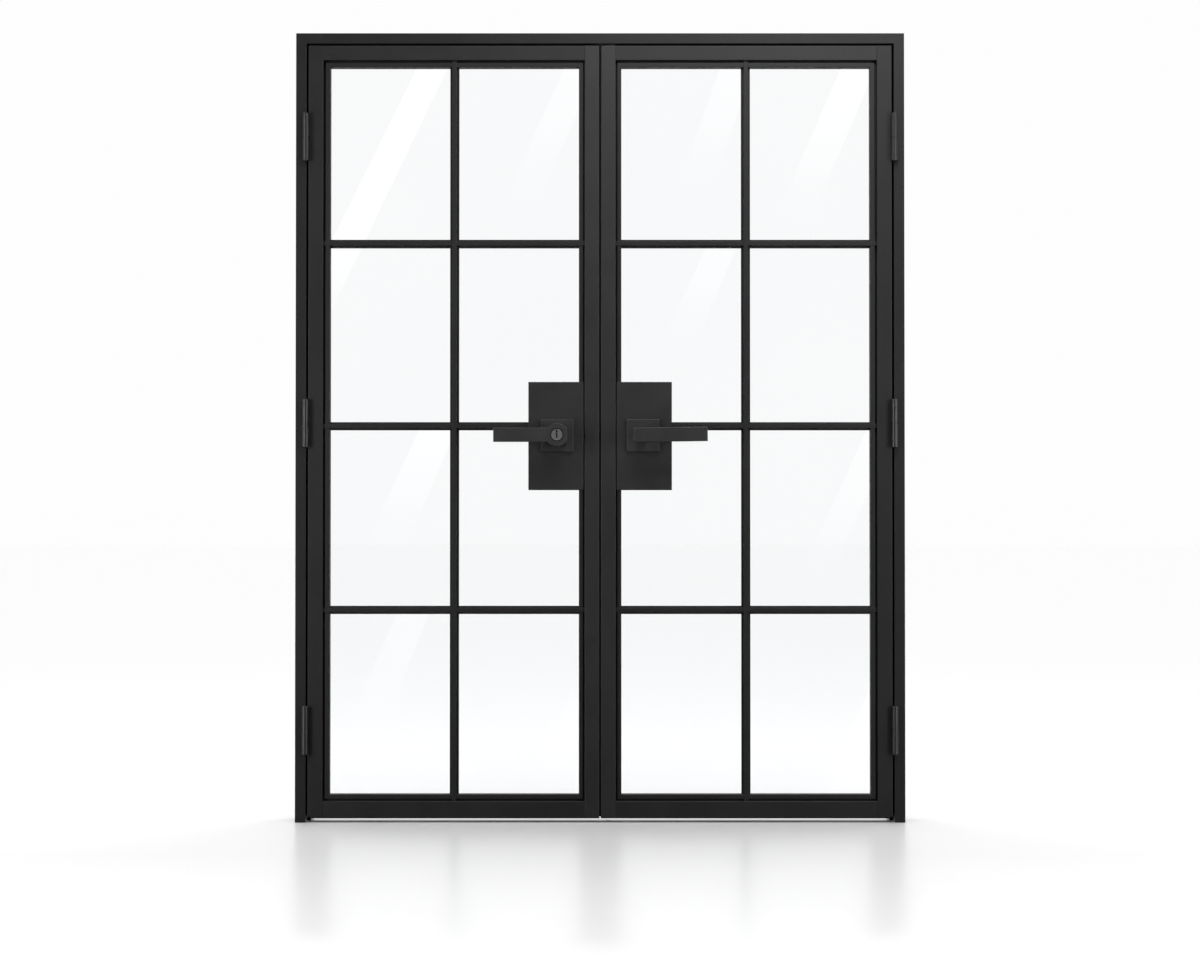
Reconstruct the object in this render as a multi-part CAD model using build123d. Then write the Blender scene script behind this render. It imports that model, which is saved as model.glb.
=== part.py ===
from build123d import *
import math
import os

# A pair of glazed steel doors in their own steel frame, closed.
# Axes: +X to the right seen from the front, +Z up, the front (pull side, hinge
# barrels) faces -Y. Origin: middle of the threshold's underside, at the leaves'
# middle plane. All sizes in millimetres.

os.makedirs("parts", exist_ok=True)

# ---------------------------------------------------------------- dimensions
FRAME_W = 1590.4          # over the jambs
FRAME_H = 2061.0          # over the head
FRAME_FACE = 27.7         # sight width of jambs and head
FRAME_FRONT = -20.0       # front plane of frame and leaves
FRAME_BACK = 80.0
STOP_Y = 24.0             # front of the rebate stop
STOP_IN = 10.0            # how far the stop stands inward of the frame face
WALL = 2.0                # sheet and tube wall
EDGE_R = 1.6              # folded edge radius
SILL_T = 3.0              # threshold plate
SILL_Y0, SILL_Y1 = -3.0, 75.0

GAP = 5.0                 # frame to leaf
MEET = 2.5                # half of the meeting gap
LEAF_Y = 20.0             # half thickness of a leaf
LEAF_Z0 = 14.5            # lower edge of the leaf's metal
HINGE_STILE = 39.1
LOCK_STILE = 37.9
TOP_RAIL = 38.6
BOTTOM_RAIL = 40.5
SWEEP_H = 4.0

STOP_W = 17.5             # glazing stop, from rail to sight line
LOCK_STOP_W = 15.1        # the same on the lock stile's side
GROOVE_W = 5.0            # shadow groove between rail and stop
LOCK_GROOVE_W = 3.5
STOP_FRONT = -14.0
STOP_BED = -5.5
GLASS_Y0, GLASS_Y1 = -4.0, 2.0
BEAD_Y1 = 14.0
BAR_X = 381.0             # vertical glazing bar
BAR_Z = (552.4, 1033.0, 1510.7)
BAR_FRONT_W = 12.0
BAR_FLANGE_W = 23.0       # upright bar
CROSS_FLANGE_W = 21.0     # cross bars
BAR_WEB = 6.0
BAR_FRONT_Y = -15.0

BOX_X0, BOX_X1 = 40.4, 187.4    # lock box
BOX_Z0, BOX_Z1 = 865.7, 1148.0
BOX_Y = 18.0
BOX_T = 3.0
LOCK_X, LOCK_Z = 112.0, 1008.0  # lever axis
ROSE = 85.0
ROSE_T = 8.0
HUB_R = 14.92
LEVER_Y = 84.0            # outermost plane of the levers
LEVER_T = 12.0
DRUM_R = 29.75
LATCH_THROW = 12.7
BOLT_THROW = 14.0

HINGE_X, HINGE_Y = 768.0, -28.5
HINGE_R = 8.0
HINGE_L = 126.0
HINGE_Z = (240.0, 1040.0, 1788.0)
PIN_R = 4.5

ROD_X, ROD_Y, ROD_R = 21.0, 8.0, 5.0
CRANK_R = 20.0

XO = FRAME_W / 2                       # 795.2
XI = XO - FRAME_FACE                   # 767.5
LX = XI - GAP                          # 762.5 leaf outer edge
LZ1 = FRAME_H - FRAME_FACE - GAP       # 2028.3 leaf top
HX = LX - HINGE_STILE                  # 723.4
KX = MEET + LOCK_STILE                 # 40.4
RZ0 = LEAF_Z0 + BOTTOM_RAIL            # 55
RZ1 = LZ1 - TOP_RAIL                   # 1989.7


# ------------------------------------------------------------------- helpers
def block(x0, x1, y0, y1, z0, z1):
    return Pos((x0 + x1) / 2, (y0 + y1) / 2, (z0 + z1) / 2) * Box(
        abs(x1 - x0), abs(y1 - y0), abs(z1 - z0)
    )


def rod_x(x0, x1, y, z, r):
    return Pos((x0 + x1) / 2, y, z) * Rot(0, 90, 0) * Cylinder(r, abs(x1 - x0))


def rod_y(x, y0, y1, z, r):
    return Pos(x, (y0 + y1) / 2, z) * Rot(90, 0, 0) * Cylinder(r, abs(y1 - y0))


def rod_z(x, y, z0, z1, r):
    return Pos(x, y, (z0 + z1) / 2) * Cylinder(r, abs(z1 - z0))


def tri(a, b, c, y0=-60.0, y1=120.0):
    """A wedge whose outline a, b, c lies in the X-Z plane, for mitre cuts."""
    face = make_face(Polyline((a[0], y0, a[1]), (b[0], y0, b[1]), (c[0], y0, c[1]), close=True))
    return extrude(face, amount=y1 - y0, dir=(0, 1, 0))


def prism_z(pts, z0, z1, r=0.0, round_at=None):
    """A profile of X, Y points run up Z; round_at names the corners that are rounded."""
    face = make_face(Polyline(*[(x, y, z0) for x, y in pts], close=True))
    if r:
        vs = [
            v
            for v in face.vertices()
            if round_at is None
            or any(abs(v.X - p[0]) < 1e-3 and abs(v.Y - p[1]) < 1e-3 for p in round_at)
        ]
        face = fillet(vs, r)
    return extrude(face, amount=z1 - z0, dir=(0, 0, 1))


def prism_x(pts, x0, x1, r=0.0, round_at=None):
    """A profile of Y, Z points run along X."""
    face = make_face(Polyline(*[(x0, y, z) for y, z in pts], close=True))
    if r:
        vs = [
            v
            for v in face.vertices()
            if round_at is None
            or any(abs(v.Y - p[0]) < 1e-3 and abs(v.Z - p[1]) < 1e-3 for p in round_at)
        ]
        face = fillet(vs, r)
    return extrude(face, amount=x1 - x0, dir=(1, 0, 0))


def prism_y(pts, y0, y1, r=0.0):
    """A profile of X, Z points run along Y."""
    face = make_face(Polyline(*[(x, y0, z) for x, z in pts], close=True))
    if r:
        face = fillet(face.vertices(), r)
    return extrude(face, amount=y1 - y0, dir=(0, 1, 0))


def rect(a0, a1, b0, b1):
    return [(a0, b0), (a1, b0), (a1, b1), (a0, b1)]


def flip(shape):
    return mirror(shape, about=Plane.YZ)


def solids_of(*shapes):
    out = []
    for s in shapes:
        if isinstance(s, (list, tuple)):
            out += solids_of(*s)
        else:
            out += list(s.solids())
    return out


def write(name, *shapes):
    sol = solids_of(*shapes)
    shape = sol[0] if len(sol) == 1 else Compound(children=sol)
    shape.label = name
    export_step(shape, f"parts/{name}.step")


def both(name, shape_list):
    """Writes a leaf piece for the left leaf as drawn and for the right leaf mirrored."""
    sol = solids_of(*shape_list)
    write("left_" + name, sol)
    write("right_" + name, [flip(s) for s in sol])


# --------------------------------------------------------------------- frame
def jamb_profile(inset):
    i = inset
    return [
        (-XO + i, FRAME_FRONT + i), (-XI - i, FRAME_FRONT + i), (-XI - i, STOP_Y + i),
        (-XI + STOP_IN - i, STOP_Y + i), (-XI + STOP_IN - i, FRAME_BACK - i), (-XO + i, FRAME_BACK - i),
    ]


def head_profile(inset):
    i = inset
    z1, z0 = FRAME_H, FRAME_H - FRAME_FACE
    return [
        (FRAME_FRONT + i, z1 - i), (FRAME_FRONT + i, z0 + i), (STOP_Y + i, z0 + i),
        (STOP_Y + i, z0 - STOP_IN + i), (FRAME_BACK - i, z0 - STOP_IN + i), (FRAME_BACK - i, z1 - i),
    ]


ANCHOR_Y, ANCHOR_R = 52.0, 4.5
JAMB_ANCHORS = (250.0, 750.0, 1300.0, 1800.0)
HEAD_ANCHORS = (-400.0, 400.0)

pts = jamb_profile(0)
left_jamb = prism_z(pts, 0, FRAME_H, EDGE_R, [pts[i] for i in (0, 1, 3, 4, 5)])
left_jamb -= prism_z(jamb_profile(WALL), -1, FRAME_H + 1)
M = 80.0
left_jamb -= tri((-XO, FRAME_H), (-XO + M, FRAME_H), (-XO + M, FRAME_H - M))
left_jamb -= tri((-XO - 1, FRAME_H + 1), (-XO + M, FRAME_H + 1), (-XO + M, FRAME_H))
for z in JAMB_ANCHORS:
    left_jamb -= rod_x(-XO - 5, -XI + STOP_IN + 5, ANCHOR_Y, z, ANCHOR_R)
right_jamb = flip(left_jamb)
write("left_jamb", left_jamb)
write("right_jamb", right_jamb)

pts = head_profile(0)
head = prism_x(pts, -XO, XO, EDGE_R, [pts[i] for i in (0, 1, 3, 4, 5)])
head -= prism_x(head_profile(WALL), -XO - 1, XO + 1)
cut = tri((-XO, FRAME_H), (-XO, FRAME_H - M), (-XO + M, FRAME_H - M))
cut2 = tri((-XO - 1, FRAME_H + 1), (-XO - 1, FRAME_H - M), (-XO, FRAME_H - M))
head = head - cut - flip(cut)
for x in HEAD_ANCHORS:
    head -= rod_z(x, ANCHOR_Y, FRAME_H - FRAME_FACE - STOP_IN - 5, FRAME_H + 5, ANCHOR_R)
head -= rod_z(ROD_X, ROD_Y, FRAME_H - FRAME_FACE - 2, FRAME_H - FRAME_FACE + 6, 6.2)
write("head_jamb", head)

# flat threshold plate between the stops, with the hole for the lower shoot bolt
SX = XI - STOP_IN
threshold = block(-SX, SX, SILL_Y0, SILL_Y1, 0, SILL_T)
threshold = chamfer(
    [e for e in threshold.edges().filter_by(Axis.X) if e.center().Z > 1 and e.center().Y < 0], 0.8
)
threshold -= rod_z(ROD_X, ROD_Y, -1, SILL_T + 1, 5.6)
write("threshold", threshold)

# soft seal strips on the front of the stops
seal_t = 3.6
zs = FRAME_H - FRAME_FACE - STOP_IN
left_seal = block(-XI + 1.5, -SX - 1.0, STOP_Y - seal_t, STOP_Y, SILL_T + 1, zs + 1.0)
head_seal = block(-SX, SX, STOP_Y - seal_t, STOP_Y, zs + 1.0, zs + STOP_IN - 1.5)
write("frame_seal", left_seal, flip(left_seal), head_seal)

# small plate under the head round the hole for the upper shoot bolt
keeper = block(ROD_X - 18, ROD_X + 18, ROD_Y - 12, ROD_Y + 10, FRAME_H - FRAME_FACE - 1.5, FRAME_H - FRAME_FACE)
keeper = fillet(keeper.edges().filter_by(Axis.Z), 3)
keeper -= rod_z(ROD_X, ROD_Y, FRAME_H - FRAME_FACE - 3, FRAME_H - FRAME_FACE + 1, 5.6)
write("head_keeper", keeper)

# -------------------------------------------------------------------- hinges
frame_halves, leaf_halves, pins, washers = [], [], [], []
HALF = HINGE_L / 2 - 1.0
for zc in HINGE_Z:
    z0 = zc - HINGE_L / 2
    lower = rod_z(-HINGE_X, HINGE_Y, z0, z0 + HALF, HINGE_R)
    lower = chamfer(lower.edges().filter_by(GeomType.CIRCLE).sort_by(Axis.Z)[0], 1.0)
    foot = block(-HINGE_X - 10.0, -XI - 0.5, HINGE_Y, FRAME_FRONT, z0 + 2, z0 + HALF - 2)
    lower = lower + foot - rod_z(-HINGE_X, HINGE_Y, z0 + 4, z0 + HALF + 1, PIN_R)
    upper = rod_z(-HINGE_X, HINGE_Y, z0 + HALF + 2, z0 + HINGE_L, HINGE_R)
    upper = chamfer(upper.edges().filter_by(GeomType.CIRCLE).sort_by(Axis.Z)[-1], 1.0)
    foot2 = block(-LX - 0.5, -HINGE_X + 8.8, HINGE_Y, -LEAF_Y, z0 + HALF + 4, z0 + HINGE_L - 2)
    upper = upper + foot2 - rod_z(-HINGE_X, HINGE_Y, z0 + HALF + 1, z0 + HINGE_L - 3, PIN_R + 0.08)
    frame_halves += [lower, flip(lower)]
    leaf_halves.append(upper)
    pin = rod_z(-HINGE_X, HINGE_Y, z0 + 4, z0 + HINGE_L - 4, PIN_R)
    washer = rod_z(-HINGE_X, HINGE_Y, z0 + HALF, z0 + HALF + 1.8, HINGE_R - 1.5)
    washer -= rod_z(-HINGE_X, HINGE_Y, z0 + HALF - 1, z0 + HALF + 3, PIN_R)
    pins += [pin, flip(pin)]
    washers += [washer, flip(washer)]
write("frame_hinge_halves", frame_halves)
write("hinge_pins", pins)
write("hinge_washers", washers)
both("leaf_hinge_halves", leaf_halves)

# ---------------------------------------------------------------- leaf frame
def closed_tube(x0, x1, z0, z1):
    """An upright tube with end plates; a small vent hole opens the lower plate."""
    t = prism_z(rect(x0, x1, -LEAF_Y, LEAF_Y), z0, z1, EDGE_R)
    t -= block(x0 + WALL, x1 - WALL, -LEAF_Y + WALL, LEAF_Y - WALL, z0 + WALL, z1 - WALL)
    return t - rod_z((x0 + x1) / 2, -8.0, z0 - 1, z0 + WALL + 1, 3.0)


hinge_stile = closed_tube(-LX, -HX, LEAF_Z0, LZ1)
both("hinge_stile", [hinge_stile])


def rail(z0, z1):
    t = prism_x(rect(-LEAF_Y, LEAF_Y, z0, z1), -HX, -KX, EDGE_R)
    return t - prism_x(rect(-LEAF_Y + WALL, LEAF_Y - WALL, z0 + WALL, z1 - WALL), -HX - 1, -KX + 1)


both("top_rail", [rail(RZ1, LZ1)])
both("bottom_rail", [rail(LEAF_Z0, RZ0)])

lock_stile = closed_tube(-KX, -MEET, LEAF_Z0, LZ1)
FP_W, FP_L, FP_T = 25.0, 57.0, 2.0      # faceplate and strike plate
plate_cut = block(-MEET - FP_T, -MEET + 1, -FP_W / 2, FP_W / 2, LOCK_Z - FP_L / 2, LOCK_Z + FP_L / 2)

# left: opening for the faceplate and the latch tube
left_lock_stile = lock_stile - plate_cut
left_lock_stile -= rod_x(-KX - 1, -MEET + 1, 0, LOCK_Z, 12.5)
write("left_lock_stile", left_lock_stile)

# right: opening for the strike plate, window for the bolt arms, rod holes at both ends
right_lock_stile = flip(lock_stile) - flip(plate_cut)
right_lock_stile -= block(MEET - 1, MEET + FP_T + 1, -8, 8, LOCK_Z - 10, LOCK_Z + 10)
right_lock_stile -= block(KX - WALL - 1, KX + 1, -8, 8, LOCK_Z - 46, LOCK_Z + 46)
right_lock_stile -= rod_z(ROD_X, ROD_Y, LZ1 - 3, LZ1 + 1, 5.5)
right_lock_stile -= rod_z(ROD_X, ROD_Y, LEAF_Z0 - 1, LEAF_Z0 + 3, 5.5)
write("right_lock_stile", right_lock_stile)

# --------------------------------------------------------- glazing bars
def stop_profile_x(x_edge, s, w, g):
    """Front stop beside an upright: x_edge is the stile's edge, s the way inward,
    w the stop's width and g its groove's."""
    return [
        (x_edge, GLASS_Y0), (x_edge + s * w, GLASS_Y0), (x_edge + s * w, STOP_FRONT),
        (x_edge + s * g, STOP_FRONT), (x_edge + s * g, STOP_BED), (x_edge, STOP_BED),
    ]


def stop_profile_z(z_edge, s):
    return [
        (GLASS_Y0, z_edge), (GLASS_Y0, z_edge + s * STOP_W), (STOP_FRONT, z_edge + s * STOP_W),
        (STOP_FRONT, z_edge + s * GROOVE_W), (STOP_BED, z_edge + s * GROOVE_W), (STOP_BED, z_edge),
    ]


def bar_notch_h(x0, x1):
    """The front ribs of the cross bars run through the upright stops."""
    return [block(x0, x1, BAR_FRONT_Y - 2, STOP_BED, z - BAR_FRONT_W / 2, z + BAR_FRONT_W / 2) for z in BAR_Z]


R8 = 1.6
p = stop_profile_x(-HX, 1, STOP_W, GROOVE_W)
s_hinge = prism_z(p, RZ0, RZ1, R8, [p[2], p[3]])
s_hinge -= tri((-HX, RZ0), (-HX + 40, RZ0), (-HX + 40, RZ0 + 40))
s_hinge -= tri((-HX, RZ1), (-HX + 40, RZ1), (-HX + 40, RZ1 - 40))
for n in bar_notch_h(-HX - 1, -HX + STOP_W + 1):
    s_hinge -= n
ML = 40.0 * LOCK_STOP_W / STOP_W      # the mitre leans where the two widths differ
p = stop_profile_x(-KX, -1, LOCK_STOP_W, LOCK_GROOVE_W)
s_lock_low = prism_z(p, RZ0, BOX_Z0, R8, [p[2], p[3]])
s_lock_low -= tri((-KX, RZ0), (-KX - ML, RZ0), (-KX - ML, RZ0 + 40))
s_lock_high = prism_z(p, BOX_Z1, RZ1, R8, [p[2], p[3]])
s_lock_high -= tri((-KX, RZ1), (-KX - ML, RZ1), (-KX - ML, RZ1 - 40))
for n in bar_notch_h(-KX - LOCK_STOP_W - 1, -KX + 1):
    s_lock_low -= n
    s_lock_high -= n
xn = block(-BAR_X - BAR_FRONT_W / 2, -BAR_X + BAR_FRONT_W / 2, BAR_FRONT_Y - 2, STOP_BED, RZ0 - 5, RZ1 + 5)
p = stop_profile_z(RZ0, 1)
s_bottom = prism_x(p, -HX, -KX, R8, [p[2], p[3]]) - xn
s_bottom -= tri((-HX, RZ0), (-HX, RZ0 + 40), (-HX + 40, RZ0 + 40))
s_bottom -= tri((-KX, RZ0), (-KX, RZ0 + 40), (-KX - ML, RZ0 + 40))
p = stop_profile_z(RZ1, -1)
s_top = prism_x(p, -HX, -KX, R8, [p[2], p[3]]) - xn
s_top -= tri((-HX, RZ1), (-HX, RZ1 - 40), (-HX + 40, RZ1 - 40))
s_top -= tri((-KX, RZ1), (-KX, RZ1 - 40), (-KX - ML, RZ1 - 40))
both("glazing_stops", [s_hinge, s_lock_low, s_lock_high, s_bottom, s_top])

HW, HF, HC, HB = BAR_FRONT_W / 2, BAR_FLANGE_W / 2, CROSS_FLANGE_W / 2, BAR_WEB / 2


def rib_x(x0, x1, zc):
    pr = rect(BAR_FRONT_Y, STOP_BED, zc - HW, zc + HW)
    return prism_x(pr, x0, x1, 1.0, [pr[0], pr[3]])


pr = rect(-BAR_X - HW, -BAR_X + HW, BAR_FRONT_Y, STOP_BED)
v_bar = prism_z(pr, RZ0, RZ1, 1.0, [pr[0], pr[1]])
v_bar += block(-BAR_X - HF, -BAR_X + HF, STOP_BED, GLASS_Y0, RZ0 + STOP_W, RZ1 - STOP_W)
v_bar += block(-BAR_X - HB, -BAR_X + HB, GLASS_Y0, BEAD_Y1, RZ0, RZ1)
both("vertical_bar", [v_bar])

cross = []
for zc in BAR_Z:
    end_front = -KX if not (BOX_Z0 < zc < BOX_Z1) else -BOX_X1
    end_flange = -KX - LOCK_STOP_W if not (BOX_Z0 < zc < BOX_Z1) else -BOX_X1
    a = rib_x(-HX, -BAR_X - HW, zc)
    a += block(-HX + STOP_W, -BAR_X - HF, STOP_BED, GLASS_Y0, zc - HC, zc + HC)
    a += block(-HX, -BAR_X - HB, GLASS_Y0, BEAD_Y1, zc - HB, zc + HB)
    b = rib_x(-BAR_X + HW, end_front, zc)
    b += block(-BAR_X + HF, end_flange, STOP_BED, GLASS_Y0, zc - HC, zc + HC)
    b += block(-BAR_X + HB, end_front, GLASS_Y0, BEAD_Y1, zc - HB, zc + HB)
    cross += [a, b]
both("cross_bars", cross)

# ------------------------------------------------------ panes, rear beads
zs_edges = [RZ0] + list(BAR_Z) + [RZ1]
panes, beads, screws = [], [], []
for row in range(4):
    za, zb = zs_edges[row], zs_edges[row + 1]
    z_lo, z_hi = za + (3.0 if row == 0 else HB + 1), zb - (3.0 if row == 3 else HB + 1)
    b_lo, b_hi = za + (0 if row == 0 else HB), zb - (0 if row == 3 else HB)
    w_lo, w_hi = (STOP_W if row == 0 else HC - HB), (STOP_W if row == 3 else HC - HB)
    for col in range(2):
        xa, xb = (-HX, -BAR_X) if col == 0 else (-BAR_X, -KX)
        x_lo, x_hi = xa + (3.0 if col == 0 else HB + 1), xb - (3.0 if col == 1 else HB + 1)
        c_lo, c_hi = xa + (0 if col == 0 else HB), xb - (0 if col == 1 else HB)
        v_lo, v_hi = (STOP_W if col == 0 else HF - HB), (LOCK_STOP_W if col == 1 else HF - HB)
        pane = block(x_lo, x_hi, GLASS_Y0, GLASS_Y1, z_lo, z_hi)
        notched = col == 1 and za < BOX_Z1 and zb > BOX_Z0
        if notched:
            pane -= block(-BOX_X1 - 1, 0, -20, 20, max(BOX_Z0 - 1, za - 5), min(BOX_Z1 + 1, zb + 5))
        panes.append(pane)
        # rear beads: uprights between the two level ones
        level = []
        for lo, hi, is_low in ((b_lo, b_lo + w_lo, True), (b_hi - w_hi, b_hi, False)):
            e = c_hi
            if notched and ((row == 2 and is_low) or (row == 1 and not is_low)):
                e = -BOX_X1
            level.append(block(c_lo, e, GLASS_Y1, BEAD_Y1, lo, hi))
            zc = (lo + hi) / 2
            xs_ = (c_lo + 40, e - 40)
            screws += [(x, zc) for x in xs_]
        up_lo, up_hi = b_lo + w_lo, b_hi - w_hi
        left_up = block(c_lo, c_lo + v_lo, GLASS_Y1, BEAD_Y1, up_lo, up_hi)
        screws += [(c_lo + v_lo / 2, up_lo + 60), (c_lo + v_lo / 2, up_hi - 60)]
        r_lo, r_hi = up_lo, up_hi
        if notched and row == 2:
            r_lo = BOX_Z1
        if notched and row == 1:
            r_hi = BOX_Z0
        right_up = block(c_hi - v_hi, c_hi, GLASS_Y1, BEAD_Y1, r_lo, r_hi)
        screws += [(c_hi - v_hi / 2, r_lo + 60), (c_hi - v_hi / 2, r_hi - 60)]
        beads += level + [left_up, right_up]
drilled, heads = [], []
for bead in beads:
    bb = bead.bounding_box()
    for x, z in screws:
        if bb.min.X < x < bb.max.X and bb.min.Z < z < bb.max.Z:
            bead -= rod_y(x, BEAD_Y1 - 9, BEAD_Y1 + 1, z, 1.6)
    drilled.append(bead)
for x, z in screws:
    h = rod_y(x, BEAD_Y1, BEAD_Y1 + 1.4, z, 3.0)
    h = fillet(h.edges().filter_by(GeomType.CIRCLE).sort_by(Axis.Y)[-1], 0.8)
    heads.append(h + rod_y(x, BEAD_Y1 - 9, BEAD_Y1, z, 1.6))
both("glass_panes", panes)
both("glazing_beads", drilled)
both("bead_screws", heads)

# ------------------------------------------------------------- bottom sweep
sweep = block(-SX + 5, -MEET + 0.7, -15, 15, LEAF_Z0 - SWEEP_H, LEAF_Z0)
write("left_bottom_sweep", sweep)
write("right_bottom_sweep", flip(sweep) - rod_z(ROD_X, ROD_Y, LEAF_Z0 - SWEEP_H - 1, LEAF_Z0 + 1, 5.6))

# ----------------------------------------------------------------- lock box
G = LOCK_GROOVE_W
box = block(-BOX_X1, -BOX_X0 - G, -BOX_Y, BOX_Y, BOX_Z0, BOX_Z1)
box = fillet(
    [
        e
        for e in box.edges()
        if abs(abs(e.center().Y) - BOX_Y) < 1e-3
    ],
    1.0,
)
box += block(-BOX_X0 - G - 1, -BOX_X0, -12, 12, BOX_Z0, BOX_Z1)
box -= block(-BOX_X1 + BOX_T, -BOX_X0 - G - BOX_T, -BOX_Y + BOX_T, BOX_Y - BOX_T, BOX_Z0 + BOX_T, BOX_Z1 - BOX_T)
box -= block(-BOX_X0 - G - BOX_T - 1, -BOX_X0 + 1, -12 + BOX_T, 12 - BOX_T, BOX_Z0 + BOX_T, BOX_Z1 - BOX_T)
box -= rod_y(-LOCK_X, -BOX_Y - 1, BOX_Y + 1, LOCK_Z, 7.0)
left_box = box
right_box = flip(box)
# the left box's flange is opened for the latch tube
left_box -= rod_x(-BOX_X0 - G - BOX_T - 2, -BOX_X0 + 1, 0, LOCK_Z, 12.5)
write("left_lock_box", left_box)
write("right_lock_box", right_box)


# ----------------------------------------------------------- roses and levers
def rose(side, front):
    s = -1 if front else 1
    y0, y1 = s * BOX_Y, s * (BOX_Y + ROSE_T)
    xc = side * LOCK_X
    r = block(xc - ROSE / 2, xc + ROSE / 2, min(y0, y1), max(y0, y1), LOCK_Z - ROSE / 2, LOCK_Z + ROSE / 2)
    r = fillet([e for e in r.edges() if abs(e.center().Y - y1) < 1e-3], 1.2)
    return r - rod_y(xc, -LEVER_Y, LEVER_Y, LOCK_Z, HUB_R + 0.08)


write("left_outside_rose", rose(-1, True))
write("left_inside_rose", rose(-1, False))
write("right_outside_rose", rose(1, True))
write("right_inside_rose", rose(1, False))

DRUM_BACK = BOX_Y + ROSE_T + 0.4      # lever hub clears the rose
HUB_IN = BOX_Y + 1.0
SQ = 8.0                               # square spindle
SP_END = 40.0


def lever_plate(x_end, x_near, half_h, drum_r, xc):
    """Flat lever plate with eased front edges; the drum's face lies flush in it."""
    lo, hi = min(x_end, x_near), max(x_end, x_near)
    plate = block(lo, hi, -LEVER_Y, -LEVER_Y + LEVER_T, LOCK_Z - half_h, LOCK_Z + half_h)
    plate = fillet([e for e in plate.edges() if abs(e.center().Y + LEVER_Y) < 1e-3], 1.2)
    if drum_r:
        s = 1 if x_near > x_end else -1
        disc = rod_y(xc, -LEVER_Y, -LEVER_Y + LEVER_T, LOCK_Z, drum_r)
        disc = fillet(disc.edges().filter_by(GeomType.CIRCLE).sort_by(Axis.Y)[0], 1.2)
        disc -= block(x_near - 1.5 * s, x_near + 60 * s, -100, 0, LOCK_Z - 80, LOCK_Z + 80)
        plate += disc
    return plate


def lever(x_end, x_near, half_h, drum_r, neck_r, xc, tilt=0.0):
    """A front lever: plate, drum or neck down to the rose, hub in the rose, square hole."""
    body = lever_plate(x_end, x_near, half_h, drum_r, xc)
    if drum_r:
        s = 1 if x_near > x_end else -1
        d = rod_y(xc, -LEVER_Y + LEVER_T - 0.5, -DRUM_BACK, LOCK_Z, drum_r)
        d -= block(x_near - 1.5 * s, x_near + 60 * s, -100, 0, LOCK_Z - 80, LOCK_Z + 80)
    else:
        d = rod_y(xc, -LEVER_Y + LEVER_T - 0.5, -DRUM_BACK, LOCK_Z, neck_r)
    body = body + d + rod_y(xc, -DRUM_BACK - 0.5, -HUB_IN, LOCK_Z, HUB_R)
    if tilt:
        body = Pos(xc, 0, LOCK_Z) * Rot(0, tilt, 0) * Pos(-xc, 0, -LOCK_Z) * body
    body -= block(xc - SQ / 2, xc + SQ / 2, -SP_END, 0, LOCK_Z - SQ / 2, LOCK_Z + SQ / 2)
    return body


def to_inside(shape):
    return mirror(shape, about=Plane.XZ)


# left outside lever carries the key cylinder in its drum
CYL_R, PLUG_R, CYL_D = 17.2, 14.7, 30.0
lol = lever(-276.4, -85.8, 18.25, DRUM_R, 0, -LOCK_X)
lol -= rod_y(-LOCK_X, -LEVER_Y - 1, -LEVER_Y + CYL_D, LOCK_Z, CYL_R)
write("left_outside_lever", lol)

housing = rod_y(-LOCK_X, -LEVER_Y + 1.2, -LEVER_Y + CYL_D, LOCK_Z, CYL_R)
housing -= rod_y(-LOCK_X, -LEVER_Y, -LEVER_Y + CYL_D - 3, LOCK_Z, PLUG_R)
write("cylinder_housing", housing)

plug = rod_y(-LOCK_X, -LEVER_Y + 0.3, -LEVER_Y + CYL_D - 3.2, LOCK_Z, PLUG_R - 0.06)
plug = chamfer(plug.edges().filter_by(GeomType.CIRCLE).sort_by(Axis.Y)[0], 0.5)
# keyway: a narrow slot above the middle with three wider steps
KX0, KZ = -LOCK_X - 0.5, LOCK_Z
key_way = block(KX0 - 0.2, KX0 + 1.7, -LEVER_Y - 1, -LEVER_Y + 20, KZ - 7.6, KZ + 13.2)
key_way += block(KX0 - 1.9, KX0 + 2.0, -LEVER_Y - 1, -LEVER_Y + 20, KZ + 6.6, KZ + 12.4)
key_way += block(KX0 - 2.5, KX0 + 1.2, -LEVER_Y - 1, -LEVER_Y + 20, KZ - 0.4, KZ + 3.9)
key_way += block(KX0 - 1.7, KX0 + 2.0, -LEVER_Y - 1, -LEVER_Y + 20, KZ - 7.2, KZ - 2.4)
plug -= key_way
write("key_plug", plug)

# left inside lever carries the turn button
lil = lever(-262.0, -92.0, 12.5, 22.0, 0, -LOCK_X)
lil -= rod_y(-LOCK_X, -LEVER_Y - 1, -LEVER_Y + 9, LOCK_Z, 12.1)
write("left_inside_lever", to_inside(lil))
button = rod_y(-LOCK_X, LEVER_Y - 8.8, LEVER_Y - 6.5, LOCK_Z, 12.0)
button += block(-LOCK_X - 10, -LOCK_X + 10, LEVER_Y - 6.6, LEVER_Y - 0.2, LOCK_Z - 2.2, LOCK_Z + 2.2)
write("turn_button", button)

left_spindle = block(-LOCK_X - SQ / 2, -LOCK_X + SQ / 2, -SP_END, SP_END, LOCK_Z - SQ / 2, LOCK_Z + SQ / 2)
write("left_spindle", left_spindle)

# right levers: plain bars, the outside one standing a little above level
rol = lever(278.2, 86.8, 18.5, 0, 13.0, LOCK_X, tilt=-0.8)
write("right_outside_lever", rol)
ril = lever(262.0, 92.0, 12.5, 0, 13.0, LOCK_X, tilt=-0.8)
write("right_inside_lever", to_inside(ril))

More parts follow.
